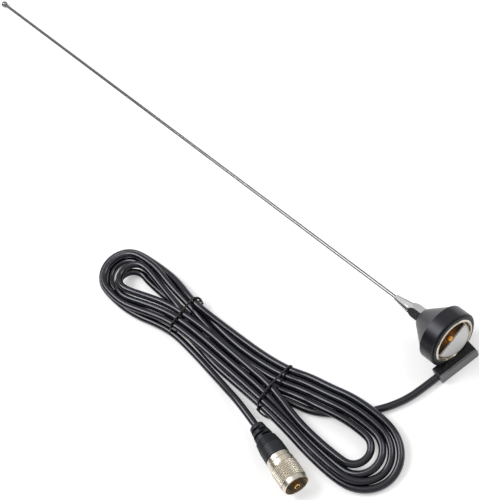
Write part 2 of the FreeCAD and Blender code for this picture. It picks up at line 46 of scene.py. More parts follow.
# The camera of the photograph
FOCAL_PX = 1252.0
IMAGE_LONG_PX = 500.0
SENSOR_MM = 36.0
CAMERA_AT = Vector((-176.6, -327.8, 712.0)) * MM + MOUTH
CAMERA_TURN = math.radians(-15.497)
CAMERA_DOWN = math.radians(53.741)
CAMERA_ROLL = math.radians(31.862)

# Light: the lamps, the world as light, and the room that glossy surfaces mirror. ROOM gives the room's
# brightness by the height of a direction, from level to straight up. DOOR darkens the directions that lie
# close to DARK_SIDE.
KEY_LAMP = {"place": (-0.5, 0.7, 1.3), "aim": (-0.05, 0, 0), "size": (0.9, 0.75), "watts": 13}
FILL_LAMP = {"place": (0.9, -0.6, 1.1), "aim": (0, 0, 0), "size": (0.7, 0.7), "watts": 5}
WORLD_LEVEL = 0.45
ROOM = [
    (0.0, 0.3), (0.05, 0.05), (0.14, 0.08), (0.22, 0.55), (0.5, 0.7), (0.68, 0.6), (0.82, 0.45), (0.91, 1.0),
]
DARK_SIDE = (-0.72, 0.46, 0.42)
DOOR = [(0.88, 1.0), (0.94, 0.05)]

# Floor: its paint, and what it adds to its brightness in view, from near the object to far away
FLOOR_SIZE = 6
FLOOR_PAINT = 0.86
FLOOR_NEAR = 0.4
FLOOR_FAR = 0.9
FLOOR_LIFT = 0.35
FLOOR_LIFT_FAR = 1.0

# The cable: its length in metres, and the rest in millimetres from under the middle of the cup's mouth
CABLE_D = 5.0
CABLE_EXIT = (-20.62, -2.03, 3.0)
MOUNT_LEAD = [(-32.4, -0.2, 3.0), (-43.2, 2.4, 2.7), (-53.2, 7.0, 2.5), (-62.6, 13.2, 2.5)]
MOUNT_LEAD_UNDER = [(-70.5, 19.5, 2.5), (-80.0, 30.0, 2.5), (-89.5, 44.0, 2.5)]
PLUG_LEAD = [
    (-112.0, 160.5, 4.2), (-112.6, 139.0, 2.8), (-114.2, 118.0, 2.9), (-115.8, 98.5, 5.6),
    (-117.3, 81.0, 8.8),
]
CABLE_END = (-120.63, 62.09, 9.0)
CABLE_FINENESS = 6
CABLE_STEPS = 8
TURNS = 5

# The coil's cross-sections: the place of the outer strand, the direction across the bundle towards the inside,
# and where each turn lies from the outermost in, as pitches across and layers up. The right side runs from the
# near end to the far end, the left side comes back, and the last stretch leads from the near end's bends into
# the right side again.
LAYER = 4.4
PITCH = 4.96
RIGHT_SIDE = [
    (-73.4, 62.0, 195, ((0, .3), (1, .3), (2.0, .3), (3.0, .2), (4.1, 0))),
    (-79.1, 76.5, 183, ((0, .4), (1, .4), (2.0, .4), (3.05, .4), (4.1, .4))),
    (-82.4, 98.0, 180, ((0, 0), (1, 0), (2.0, 0), (3.05, 0), (4.05, 0))),
    (-84.2, 120.0, 180, ((0, 0), (1, 0), (2, 0), (3, 0), (4, 0))),
    (-85.8, 145.0, 180, ((.1, .6), (.5, 0), (1.5, 0), (2.5, 0), (3.5, 0))),
    (-85.6, 166.0, 180, ((.4, 1.35), (0, .4), (1, .4), (2, .4), (2.35, 1.35))),
    (-84.4, 190.0, 180, ((-.2, .6), (.75, 0), (1, 1), (2.55, .1), (2.05, 1.15))),
    (-83.8, 210.0, 180, ((0, .1), (1, 0), (.5, 1.1), (2.65, 0), (1.6, 1.3))),
]
LEFT_SIDE = [
    (-122.4, 209.0, 5, ((0, 0), (1, 0), (.2, 1), (1.2, 1), (2.15, 1.75))),
    (-119.8, 193.0, 10, ((0, 0), (1, .1), (.65, 1.1), (1.8, 1.1), (2.85, 1.45))),
    (-115.2, 178.0, 10, ((0, .1), (1, .1), (.8, 1.1), (1.9, 1.1), (3, 1.2))),
    (-110.3, 163.0, 0, ((0, .4), (1, .4), (.5, 1.4), (1.5, 1.4), (2.5, 1.4))),
    (-109.2, 142.0, 0, ((.5, 0), (.6, 1), (1.6, 1), (2.7, 1))),
    (-109.0, 120.0, 0, ((0, 0), (.6, 1), (1.6, 1), (2.7, 1))),
    (-108.6, 98.0, 0, ((0, 0), (.6, 1), (1.6, 1), (2.7, 1))),
    (-108.2, 72.5, 0, ((0, .4), (.5, 1.4), (1.5, 1.4), (2.6, 1.4))),
    (-108.9, 47.0, 0, ((0, 0), (.6, .9), (1.2, 0), (1.8, .9))),
    (-110.9, 25.0, 0, ((0, 0), (.65, .85), (1.35, 0), (2.0, .9))),
]
NEAR_RETURN = [
    (-65.0, 25.0, 192, ((0, 1.1), (1, 1.2), (2.0, 1.2), (3.05, 1.2))),
    (-70.2, 45.0, 195, ((0, .8), (1, .9), (2.0, 1.1), (3.05, 1.1))),
]

# The cross-sections of the right and the left side that each tie holds
FAR_TIE = (5, 3)
NEAR_TIE = (1, 7)

# Each turn's bend at an end of the coil: its middle, its two radii, and its layer at the start, middle and end.
# The outermost turn leaves the coil at the far tie, so the near end has one bend fewer.
FAR_BENDS = [
    (-104.0, 228.0, 18.4, 20.4, (0, 0, 0)),
    (-104.3, 224.5, 13.3, 15.5, (0, 0, 0)),
    (-104.6, 226.2, 16.9, 16.4, (1, 1, 1)),
    (-106.4, 216.6, 10.6, 10.8, (0, .7, 1)),
    (-102.4, 217.0, 10.8, 10.8, (1.3, 1.5, 1.8)),
]
NEAR_BENDS = [
    (-87.3, 0.0, 23.7, 27.2, (0, 0, .9)),
    (-88.1, 0.5, 19.4, 21.8, (.8, .15, 1)),
    (-88.6, 1.0, 15.3, 16.6, (.3, .8, 1)),
    (-89.3, 3.4, 10.8, 11.1, (1, 1.0, 1)),
]
BEND_STEPS = 6

# The wire ties, in millimetres: their wire, how tightly they lie on the jacket, the line of each loose end from
# under the middle of the cup's mouth, and the fineness of their loops
TIE_R = 0.7
TIE_HOLD = 0.9
TIE_ENDS = {
    "tie_far": [(-86.6, 166.4, 11.4), (-83.2, 165.4, 9.4), (-82.4, 163.2, 7.0), (-84.0, 160.0, 6.6)],
    "tie_near": [(-112.0, 72.0, 6.6), (-112.4, 68.8, 4.0), (-111.4, 64.6, 2.4), (-109.8, 61.4, 2.2)],
}
TIE_FINENESS = 4
WRAP_STEPS = 24
WRAP_SPACING = 2.5

# The plug's nut, in millimetres, with Z out of its open end
PLUG_AT = (-130.45, 12.5, 9.0)
PLUG_TURN = math.radians(11.2)
NUT_R = 9.0
NUT_STEP_R = 8.65
NUT_NECK_R = 8.3
NUT_NECK = 0.6
NUT_LENGTH = 19.2
NUT_REAR_EDGE = 0.3
NUT_FRONT_EDGE = 0.6
NUT_BORE_R = 7.6
NUT_BORE_END = -16.0
NUT_LIP_BORE_R = 6.38
NUT_THREAD = 1.058
NUT_THREAD_DEPTH = 0.5
NUT_THREAD_FROM = -0.6
NUT_THREAD_TO = -15.8
NUT_THREAD_STEPS = 6
KNURL_FROM = -15.0
KNURL_TO = -3.4
KNURLS = 44
KNURL_PITCH = 1.29
KNURL_DEPTH = 0.5
KNURL_FLAT = 1.5
KNURL_STEPS = 6

# How much wider a threaded bore is at its mouth, in millimetres
BORE_LEAD = 0.45

# The plug's boot, in millimetres along the nut's axis: the height and radius of its outline from front to
# rear, its fine grooves, the slots that cross it alternately both ways down to a flat floor, and the room for
# the crimp sleeve
BOOT_OUTLINE = [
    (-22.8, 8.0), (-23.1, 8.3), (-31.0, 8.15), (-37.6, 7.2), (-38.4, 6.45), (-42.8, 6.0), (-44.9, 5.45),
    (-49.5, 4.9), (-49.9, 4.6),
]
BOOT_GROOVES = [-31.8, -33.3, -34.8, -36.3]
BOOT_GROOVE = 0.5
BOOT_GROOVE_DEPTH = 0.6
BOOT_SLOTS = [-38.7, -40.9, -43.1, -45.3]
BOOT_SLOT = 1.65
BOOT_SLOT_FLOOR = 2.85
BOOT_SLOT_TURN = math.radians(25.0)
BOOT_SIDES = 144
CRIMP_R = 4.25
CRIMP_END = -33.8

# The cup's ring, in millimetres along its axis from the middle of its mouth. Its thread stops short of its
# front by RING_THREAD_FROM and of its back by RING_THREAD_TO.
PITCH_DOWN = math.radians(1.7816)
MOUTH_HIGH = 19.2986
RING_R = 15.63
RING_BORE_R = 13.87
RING_PROUD = 1.45
RING_DEPTH = 9.4
RING_EDGE = 0.3
RING_THREAD = 1.41
RING_THREAD_DEPTH = 0.6
RING_THREAD_FROM = 0.4
RING_THREAD_TO = 0.2
RING_THREAD_STEPS = 8
RING_SIDES = 216

# The mount's face, painted in rings outwards: a painted amber glow round the contact, painted shade that
# darkens towards the pocket's wall, and the plated rim's own colour
MOUNT_AT = (-0.1, 1.95, 19.05)
MOUNT_REACH = 14.0
MOUNT_GLOW_AND_SHADE = [
    (2.6, (0.3, 0.115, 0.012)), (4.6, (0.1, 0.036, 0.006)), (7.5, (0.018, 0.008, 0.003)),
    (12.3, (0.01, 0.005, 0.003)), (12.65, (0.72, 0.66, 0.55)),
]

# The raised line on the housing's lid, which catches real highlights and is coloured a lighter grey as a
# painted highlight along the lid's edge, in millimetres in the housing's own frame
HOUSING_AT = (-6.3, -4.3, 0.0)
HOUSING_TURN = math.radians(-9.0)
BEAD_R = 0.24
BEAD_FINENESS = 3
BEAD_LINE = [(-13.8, -2.95, 7.45), (-5.0, -2.95, 7.45), (4.0, -2.95, 7.45), (12.0, -2.95, 7.45)]

# Edges sharper than this stay sharp on turned pieces
SHARP_ANGLE = math.radians(25)

# The part of a noise's range over which the grain and the patches of a surface change colour
GRAIN_RANGE = (0.3, 0.7)
PATCH_RANGE = (0.35, 0.65)


def at(point):
    """A point given in millimetres from under the middle of the cup's mouth."""
    return Vector(point) * MM + MOUTH


def collect(thing):
    bpy.context.scene.collection.objects.link(thing)
    return thing


def make_camera():
    data = bpy.data.cameras.new("camera")
    data.sensor_width = SENSOR_MM
    data.lens = FOCAL_PX / IMAGE_LONG_PX * SENSOR_MM
    camera = bpy.data.objects.new("camera", data)
    look = Vector((
        -math.sin(CAMERA_TURN) * math.cos(CAMERA_DOWN),
        math.cos(CAMERA_TURN) * math.cos(CAMERA_DOWN),
        -math.sin(CAMERA_DOWN),
    ))
    right = Vector((math.cos(CAMERA_TURN), math.sin(CAMERA_TURN), 0))
    up = right.cross(look)
    across = right * math.cos(CAMERA_ROLL) - up * math.sin(CAMERA_ROLL)
    upward = right * math.sin(CAMERA_ROLL) + up * math.cos(CAMERA_ROLL)
    rotation = Matrix((across, upward, -look)).transposed().to_4x4()
    camera.matrix_world = Matrix.Translation(CAMERA_AT) @ rotation
    bpy.context.scene.camera = collect(camera)


# Materials
def grey(level):
    return (level,) * 3


def scaled(colour, factor):
    return tuple(min(1.0, c * factor) for c in colour)


def ramp_of(nodes, stops):
    """Colour ramp from (position, colour) stops."""
    ramp = nodes.new("ShaderNodeValToRGB")
    elements = ramp.color_ramp.elements
    while len(elements) < len(stops):
        elements.new(0.5)
    for element, (position, colour) in zip(elements, stops):
        element.position = position
        element.color = (*colour, 1)
    return ramp


def noise_of(nodes, links, scale, stretch, detail=3.0):
    coords = nodes.new("ShaderNodeTexCoord")
    mapping = nodes.new("ShaderNodeMapping")
    mapping.inputs["Scale"].default_value = stretch
    links.new(coords.outputs["Object"], mapping.inputs["Vector"])
    noise = nodes.new("ShaderNodeTexNoise")
    noise.inputs["Scale"].default_value = scale
    noise.inputs["Detail"].default_value = detail
    links.new(mapping.outputs["Vector"], noise.inputs["Vector"])
    return noise


def product_of(nodes, links, first, second):
    """Node that multiplies two colours."""
    product = nodes.new("ShaderNodeMix")
    product.data_type = "RGBA"
    product.blend_type = "MULTIPLY"
    product.inputs["Factor"].default_value = 1.0
    links.new(first, product.inputs["A"])
    links.new(second, product.inputs["B"])
    return product


def surface(name, colour, roughness, metallic=0.0, grain=900.0, stretch=(1, 1, 1), spread=0.1,
            rough_spread=0.2, relief_mm=0.01, tint=None, specular=0.5, patch=60.0, patch_spread=0.06):
    """Material with fine grain in its colour and height, over slow patches in its colour and gloss."""
    material = bpy.data.materials.new(name)
    material.use_nodes = True
    nodes, links = material.node_tree.nodes, material.node_tree.links
    shader = nodes["Principled BSDF"]
    shader.inputs["Metallic"].default_value = metallic
    shader.inputs["Specular IOR Level"].default_value = specular
    if tint:
        shader.inputs["Specular Tint"].default_value = (*tint, 1)
    fine = noise_of(nodes, links, grain, stretch)
    slow = noise_of(nodes, links, patch, (1, 1, 1), 2.0)
    grain_colours = (scaled(colour, 1 - spread), scaled(colour, 1 + spread))
    fine_colour = ramp_of(nodes, list(zip(GRAIN_RANGE, grain_colours)))
    slow_colour = ramp_of(nodes, list(zip(PATCH_RANGE, (grey(1 - patch_spread), grey(1.0)))))
    links.new(fine.outputs["Fac"], fine_colour.inputs["Fac"])
    links.new(slow.outputs["Fac"], slow_colour.inputs["Fac"])
    paint = product_of(nodes, links, fine_colour.outputs["Color"], slow_colour.outputs["Color"])
    links.new(paint.outputs["Result"], shader.inputs["Base Color"])
    gloss = nodes.new("ShaderNodeMapRange")
    gloss.inputs["To Min"].default_value = roughness * (1 - rough_spread)
    gloss.inputs["To Max"].default_value = roughness * (1 + rough_spread)
    links.new(slow.outputs["Fac"], gloss.inputs["Value"])
    links.new(gloss.outputs["Result"], shader.inputs["Roughness"])
    bump = nodes.new("ShaderNodeBump")
    bump.inputs["Strength"].default_value = 1.0
    bump.inputs["Distance"].default_value = relief_mm * MM
    links.new(fine.outputs["Fac"], bump.inputs["Height"])
    links.new(bump.outputs["Normal"], shader.inputs["Normal"])
    return material


def metal(name, colour, roughness, grain=1500, relief_mm=0.003, **finish):
    return surface(name, colour, roughness, 1.0, grain, relief_mm=relief_mm, **finish)


def colour_by_distance(material, centre, reach_mm, stops):
    """Colours the surface in rings round a point, in place of its own colour."""
    nodes, links = material.node_tree.nodes, material.node_tree.links
    coords = nodes.new("ShaderNodeTexCoord")
    away = nodes.new("ShaderNodeVectorMath")
    away.operation = "DISTANCE"
    away.inputs[1].default_value = centre
    links.new(coords.outputs["Object"], away.inputs[0])
    share = nodes.new("ShaderNodeMath")
    share.operation = "MULTIPLY"
    share.inputs[1].default_value = 1 / (reach_mm * MM)
    links.new(away.outputs["Value"], share.inputs[0])
    ramp = ramp_of(nodes, [(distance / reach_mm, colour) for distance, colour in stops])
    links.new(share.outputs[0], ramp.inputs["Fac"])
    paint = next(n for n in nodes if n.bl_idname == "ShaderNodeMix")
    links.new(ramp.outputs["Color"], paint.inputs["A"])


STEEL = metal(
    "stainless_polished", (0.27, 0.27, 0.275), 0.16, 2600, 0.0005, stretch=(1, 0.02, 1), spread=0.04,
    rough_spread=0.15, tint=(0.3, 0.3, 0.31),
)
CHROME = metal(
    "chrome_plate", (0.9, 0.9, 0.91), 0.06, 700, 0.001, stretch=(1, 0.2, 1), spread=0.03, rough_spread=0.3,
)
DARK_STEEL = metal("black_oxide", (0.09, 0.09, 0.1), 0.35, relief_mm=0.01)
NICKEL = metal("warm_nickel", (0.78, 0.72, 0.61), 0.33, 1800, spread=0.06, rough_spread=0.3)
# Painted shade: darker nickel for the floors of the knurl's grooves and for the nut's threaded bore
GROOVE_SHADE_NICKEL = metal("nickel_groove_painted_shade", (0.2, 0.175, 0.14), 0.4, 1800)
SHADED_NICKEL = metal("nickel_bore_painted_shade", (0.2, 0.15, 0.1), 0.3, 1800, spread=0.15, rough_spread=0.3)
CREAM_NICKEL = metal("ring_nickel", (0.74, 0.68, 0.58), 0.22, 1800, spread=0.05, rough_spread=0.25)
BRASS = metal("bare_brass", (0.7, 0.46, 0.17), 0.25, relief_mm=0.004, rough_spread=0.25)
GOLD = metal("gold_flash", (0.72, 0.46, 0.17), 0.24, spread=0.06, rough_spread=0.25)
AMBER = surface("amber_contact", (0.78, 0.36, 0.05), 0.3, 0.6, 1500, rough_spread=0.25, relief_mm=0.003)
# The mount's brass, whose colour dress_nodes replaces with rings of painted glow and painted shade round its
# contact
MOUNT_GLOW_SHADE_BRASS = surface(
    "mount_brass_painted_glow_and_shade", (0.6, 0.5, 0.3), 0.45, 0.0, 1500, spread=0.06, relief_mm=0.004, tint=(0.8, 0.45, 0.15),
    specular=0.3,
)
PLATE = surface("pale_plate", (0.93, 0.93, 0.92), 0.4, 0.0, 1500, spread=0.03, relief_mm=0.006)
SHELL = surface(
    "satin_moulding", (0.0118, 0.012, 0.0155), 0.33, 0.0, 5200, spread=0.2, rough_spread=0.12, relief_mm=0.008,
    tint=(0.93, 0.94, 1.0), specular=0.43,
)
RUBBER = surface(
    "moulded_rubber", (0.015, 0.0165, 0.021), 0.48, 0.0, 3200, spread=0.3, rough_spread=0.12, relief_mm=0.02,
    tint=(0.92, 0.94, 1.0), specular=0.37,
)
HOUSING = surface(
    "satin_housing", (0.009, 0.009, 0.011), 0.3, 0.0, 4200, spread=0.2, rough_spread=0.15, relief_mm=0.008,
    specular=0.4,
)
# The lid: a much lighter grey than the housing, a painted reflection on its front face
LID_PAINTED_REFLECTION = surface(
    "lid_painted_reflection", (0.15, 0.15, 0.16), 0.36, 0.0, 4200, spread=0.15, rough_spread=0.15, relief_mm=0.008,
)
# A lighter grey that paints the highlight along the lid's edge
BEAD_HIGHLIGHT = surface("bead_painted_highlight", (0.16, 0.16, 0.17), 0.18, 0.0, 2600)
LAMINATE = surface(
    "brown_laminate", (0.075, 0.03, 0.008), 0.45, 0.0, 1600, stretch=(1, 6, 1), spread=0.35, relief_mm=0.02,
)
# The plug's insulator: brown laminate darkened by painted shade, as it lies deep in the nut's bore
SHADED_LAMINATE = surface(
    "dark_laminate", (0.022, 0.014, 0.009), 0.35, 0.0, 1600, stretch=(1, 6, 1), spread=0.3, relief_mm=0.02,
)
JACKET = surface(
    "vinyl_jacket", (0.004, 0.004, 0.0065), 0.2, 0.0, 420, spread=0.2, rough_spread=0.15, relief_mm=0.001,
    tint=(0.89, 0.9, 1.0), specular=0.66, patch=30, patch_spread=0.15,
)
TIE_VINYL = surface(
    "tie_vinyl", (0.009, 0.009, 0.01), 0.3, 0.0, 1200, spread=0.2, relief_mm=0.006, specular=0.45,
)

NODE_MATERIALS = {
    "whip_rod": STEEL, "whip_tip_ball": STEEL, "whip_holder": CHROME, "holder_set_screws": DARK_STEEL,
    "base_shell": SHELL, "rim_gasket": RUBBER, "base_thread_ring": CREAM_NICKEL, "contact_disc": LAMINATE,
    "contact_stud": BRASS, "mount_body": MOUNT_GLOW_SHADE_BRASS, "mount_face_plate": PLATE, "mount_insulator": LAMINATE,
    "mount_contact": AMBER, "coupling_nut": NICKEL, "plug_body": NICKEL, "plug_insulator": SHADED_LAMINATE,
    "plug_pin": GOLD, "strain_relief_boot": RUBBER, "cable_housing": HOUSING, "housing_lid": LID_PAINTED_REFLECTION,
    "cable_lead_mount": JACKET, "cable_coil": JACKET, "cable_lead_plug": JACKET, "tie_far": TIE_VINYL,
    "tie_near": TIE_VINYL,
}


def dress_nodes():
    # Painted glow and painted shade in rings round the mount's contact, in place of the brass's own colour
    colour_by_distance(MOUNT_GLOW_SHADE_BRASS, at(MOUNT_AT), MOUNT_REACH, MOUNT_GLOW_AND_SHADE)
    for name, material in NODE_MATERIALS.items():
        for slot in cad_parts[name].material_slots:
            slot.material = material


# Cable
def section_point(section, turn):
    """A turn's place at a cross-section, where the innermost turn comes last."""
    x, y, across, places = section
    offset, layer = places[turn - TURNS]
    heading = math.radians(across)
    return (
        x + PITCH * offset * math.cos(heading),
        y + PITCH * offset * math.sin(heading),
        CABLE_D / 2 + LAYER * layer,
    )


def bend_points(bend, start_angle):
    """Points round half an ellipse, on which the layer changes evenly to its middle and on to its end."""
    x, y, radius_x, radius_y, layers = bend
    points = []
    for step in range(BEND_STEPS + 1):
        angle = start_angle + math.pi * step / BEND_STEPS
        share = 2 * step / BEND_STEPS
        first, second = (layers[0], layers[1]) if share <= 1 else (layers[1], layers[2])
        layer = first + (second - first) * (share if share <= 1 else share - 1)
        points.append((
            x + radius_x * math.cos(angle),
            y + radius_y * math.sin(angle),
            CABLE_D / 2 + LAYER * layer,
        ))
    return points


def coil_points():
    """The coil's control points, from the innermost turn out. The outermost stops before the far tie."""
    points = []
    for turn in range(TURNS - 1, -1, -1):
        points += [section_point(section, turn) for section in RIGHT_SIDE]
        points += bend_points(FAR_BENDS[turn], 0)
        if turn:
            points += [section_point(section, turn) for section in LEFT_SIDE]
            points += bend_points(NEAR_BENDS[turn - 1], math.pi)
            points += [section_point(section, turn) for section in NEAR_RETURN]
        else:
            points += [section_point(section, turn) for section in LEFT_SIDE[:FAR_TIE[1]]]
    return points


def cable_points():
    return [CABLE_EXIT] + MOUNT_LEAD + MOUNT_LEAD_UNDER + coil_points() + PLUG_LEAD + [CABLE_END]


def add_spline(data, points, cyclic=False):
    spline = data.splines.new("NURBS")
    spline.points.add(len(points) - 1)
    for place, point in zip(spline.points, points):
        place.co = (*point, 1)
    spline.order_u = 3
    spline.use_cyclic_u = cyclic
    spline.use_endpoint_u = not cyclic
    return spline


def new_curve(name, radius, fineness):
    """Round wire: a radius in millimetres, and the fineness of its section."""
    data = bpy.data.curves.new(name, "CURVE")
    data.dimensions = "3D"
    data.bevel_depth = radius * MM
    data.bevel_resolution = fineness
    data.use_fill_caps = True
    return data


def make_cable(nut, boot):
    data = new_curve("coaxial_cable", CABLE_D / 2, CABLE_FINENESS)
    spline = add_spline(data, [at(point) for point in cable_points()])
    spline.resolution_u = CABLE_STEPS
    data.materials.append(JACKET)
    cable = collect(bpy.data.objects.new("coaxial_cable", data))
    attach(cable, "antenna_and_cable")
    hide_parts("cable_lead_mount", "cable_coil", "cable_lead_plug")


# Ties
def strand_places(tie):
    """Every strand that a tie holds. The outermost turn has left the left side before the near tie."""
    right, left = tie
    places = [section_point(RIGHT_SIDE[right], turn) for turn in range(TURNS)]
    first = 0 if tie == FAR_TIE else 1
    return places + [section_point(LEFT_SIDE[left], turn) for turn in range(first, TURNS)]


def wrap_points(tie):
    """Closed loop that lies tight round the strands, in the upright plane through the bundle's two sides."""
    places = [Vector(p) for p in strand_places(tie)]
    low_end = min(places, key=lambda p: p.x)
    high_end = max(places, key=lambda p: p.x)
    along = Vector((high_end.x - low_end.x, high_end.y - low_end.y, 0)).normalized()
    reach = CABLE_D / 2 + TIE_R * TIE_HOLD
    rim = []
    for place in places:
        middle = (place - low_end).dot(along)
        for step in range(WRAP_STEPS):
            angle = 2 * math.pi * step / WRAP_STEPS
            height = max(place.z + reach * math.sin(angle), TIE_R)
            rim.append(Vector((middle + reach * math.cos(angle), height)))
    outline = [rim[i] for i in convex_hull_2d(rim)]
    points = []
    for here, after in zip(outline, outline[1:] + outline[:1]):
        steps = max(1, round((after - here).length / WRAP_SPACING))
        points += [here.lerp(after, i / steps) for i in range(steps)]
    return [Vector((low_end.x, low_end.y, 0)) + along * p.x + Vector((0, 0, p.y)) for p in points]


def make_tie(name, tie):
    data = new_curve(name + "_wire", TIE_R, TIE_FINENESS)
    add_spline(data, [at(point) for point in wrap_points(tie)], cyclic=True)
    add_spline(data, [at(point) for point in TIE_ENDS[name]])
    data.materials.append(TIE_VINYL)
    wire = collect(bpy.data.objects.new(name + "_wire", data))
    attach(wire, "antenna_and_cable")
    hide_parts(name)


# Turned pieces: a row is a height and a function that gives the radius by the angle
def triangle_wave(value):
    """1 at whole numbers, 0 halfway between."""
    return abs(2 * (value % 1) - 1)


def plain(radius):
    return lambda angle: radius


def plain_rows(profile):
    return [(height, plain(radius)) for height, radius in profile]


def heights(start, end, step):
    count = max(1, round(abs(end - start) / step))
    return [start + (end - start) * i / count for i in range(count + 1)]


def thread_rows(root, depth, pitch, steps, start, end):
    """Rows of a screw thread in a bore, a number of steps to each of its turns."""
    def crest(height):
        return lambda angle: root + depth * triangle_wave(height / pitch - angle / (2 * math.pi))

    return [(height, crest(height)) for height in heights(start, end, pitch / steps)]


def make_turned(name, rows, sides, placement, body, node, materials, row_materials=None):
    """Closed ring of rows, turned round the placement's Z axis."""
    vertices = []
    for height, radius_at in rows:
        for i in range(sides):
            angle = 2 * math.pi * i / sides
            radius = radius_at(angle)
            point = Vector((radius * math.cos(angle), radius * math.sin(angle), height))
            vertices.append(at(placement @ point))
    faces = []
    for row in range(len(rows)):
        ahead = (row + 1) % len(rows)
        for i in range(sides):
            j = (i + 1) % sides
            faces.append((row * sides + i, row * sides + j, ahead * sides + j, ahead * sides + i))
    mesh = bpy.data.meshes.new(name)
    mesh.from_pydata(vertices, [], faces)
    mesh.polygons.foreach_set("use_smooth", [True] * len(faces))
    mesh.set_sharp_from_angle(angle=SHARP_ANGLE)
    for material in materials:
        mesh.materials.append(material)
    if row_materials:
        mesh.polygons.foreach_set("material_index", [row_materials[i // sides] for i in range(len(faces))])
    piece = collect(bpy.data.objects.new(name, mesh))
    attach(piece, body)
    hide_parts(node)
    return piece


def plug_placement():
    turn = Matrix.Rotation(-PLUG_TURN, 4, "Z") @ Matrix.Rotation(math.pi / 2, 4, "X")
    return Matrix.Translation(Vector(PLUG_AT)) @ turn


def knurl(height):
    """Rings of small beads with flat tops."""
    ring = 1 - triangle_wave(height / KNURL_PITCH)

    def radius_at(angle):
        tooth = 1 - triangle_wave(angle * KNURLS / (2 * math.pi))
        return NUT_R - KNURL_DEPTH * (1 - min(1.0, KNURL_FLAT * min(ring, tooth)))

    return radius_at


def make_nut():
    """The nut's rows run up its outside and down its bore. The knurl's grooves and the bore get painted shade,
    as darker nickel.
    """
    rear = -NUT_LENGTH
    # Material indices: plain nickel, nickel with painted shade in the grooves, and nickel with painted shade in
    # the bore
    outside, groove, bore = 0, 1, 2
    rows = plain_rows([
        (rear, NUT_LIP_BORE_R), (rear, NUT_STEP_R - NUT_REAR_EDGE), (rear + NUT_REAR_EDGE, NUT_STEP_R),
        (KNURL_FROM - NUT_NECK, NUT_STEP_R), (KNURL_FROM - NUT_NECK, NUT_NECK_R), (KNURL_FROM, NUT_NECK_R),
    ])
    row_materials = [outside] * len(rows)
    knurled = [(z, knurl(z)) for z in heights(KNURL_FROM, KNURL_TO, KNURL_PITCH / KNURL_STEPS)]
    rows += knurled
    beside_groove = (0, KNURL_STEPS - 1)
    row_materials += [groove if i % KNURL_STEPS in beside_groove else outside for i in range(len(knurled))]
    front = plain_rows([
        (KNURL_TO, NUT_STEP_R), (-NUT_FRONT_EDGE, NUT_STEP_R), (0, NUT_STEP_R - NUT_FRONT_EDGE),
    ])
    rows += front
    row_materials += [outside] * len(front)
    inside = plain_rows([(0, NUT_BORE_R + BORE_LEAD)])
    inside += thread_rows(
        NUT_BORE_R, NUT_THREAD_DEPTH, NUT_THREAD, NUT_THREAD_STEPS, NUT_THREAD_FROM, NUT_THREAD_TO,
    )
    inside += plain_rows([(NUT_BORE_END, NUT_BORE_R), (NUT_BORE_END, NUT_LIP_BORE_R)])
    rows += inside
    row_materials += [bore] * len(inside)
    return make_turned(
        "nut_knurled", rows, KNURLS * KNURL_STEPS, plug_placement(), "nut", "coupling_nut",
        (NICKEL, GROOVE_SHADE_NICKEL, SHADED_NICKEL), row_materials,
    )


def boot_radius(height):
    for (above, above_r), (below, below_r) in zip(BOOT_OUTLINE, BOOT_OUTLINE[1:]):
        if above >= height >= below:
            return below_r + (above_r - below_r) * (height - below) / (above - below)
    raise ValueError(height)


def slotted(radius, across):
    """A round cut flat on two opposite sides."""
    return lambda angle: min(radius, BOOT_SLOT_FLOOR / max(abs(math.cos(angle - across)), 0.01))


def make_boot():
    rows = plain_rows(BOOT_OUTLINE)
    for z in BOOT_GROOVES:
        end = z - BOOT_GROOVE
        rows += plain_rows([
            (z, boot_radius(z)), (z, boot_radius(z) - BOOT_GROOVE_DEPTH),
            (end, boot_radius(end) - BOOT_GROOVE_DEPTH), (end, boot_radius(end)),
        ])
    for i, z in enumerate(BOOT_SLOTS):
        end = z - BOOT_SLOT
        across = math.pi / 2 * (i % 2) + BOOT_SLOT_TURN
        rows += [(z, plain(boot_radius(z))), (z, slotted(boot_radius(z), across))]
        rows += [(end, slotted(boot_radius(end), across)), (end, plain(boot_radius(end)))]
    rows.sort(key=lambda row: -row[0])
    front, rear = BOOT_OUTLINE[0][0], BOOT_OUTLINE[-1][0]
    inner = CABLE_D / 2
    rows += plain_rows([(rear, inner), (CRIMP_END, inner), (CRIMP_END, CRIMP_R), (front, CRIMP_R)])
    return make_turned(
        "boot_slotted", rows[::-1], BOOT_SIDES, plug_placement(), "antenna_and_cable", "strain_relief_boot",
        (RUBBER,),
    )


def make_ring():
    front, back = -RING_PROUD, RING_DEPTH - RING_PROUD
    rows = plain_rows([
        (back, RING_BORE_R), (back, RING_R), (front + RING_EDGE, RING_R), (front, RING_R - RING_EDGE),
        (front, RING_BORE_R + BORE_LEAD),
    ])
    rows += thread_rows(
        RING_BORE_R, RING_THREAD_DEPTH, RING_THREAD, RING_THREAD_STEPS, front + RING_THREAD_FROM,
        back - RING_THREAD_TO,
    )
    turn = Matrix.Rotation(-math.pi / 2 - PITCH_DOWN, 4, "X")
    placement = Matrix.Translation(Vector((0, 0, MOUTH_HIGH))) @ turn
    make_turned(
        "ring_threaded", rows, RING_SIDES, placement, "antenna_and_cable", "base_thread_ring",
        (CREAM_NICKEL,),
    )


def make_lid_highlight_bead():
    """Raised line along the lid's inner edge, in a lighter grey that paints the highlight on that edge."""
    turn = Matrix.Rotation(HOUSING_TURN, 4, "Z")
    data = new_curve("lid_highlight_bead", BEAD_R, BEAD_FINENESS)
    add_spline(data, [at(turn @ Vector(point) + Vector(HOUSING_AT)) for point in BEAD_LINE])
    data.materials.append(BEAD_HIGHLIGHT)
    bead = collect(bpy.data.objects.new("lid_highlight_bead", data))
    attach(bead, "antenna_and_cable")


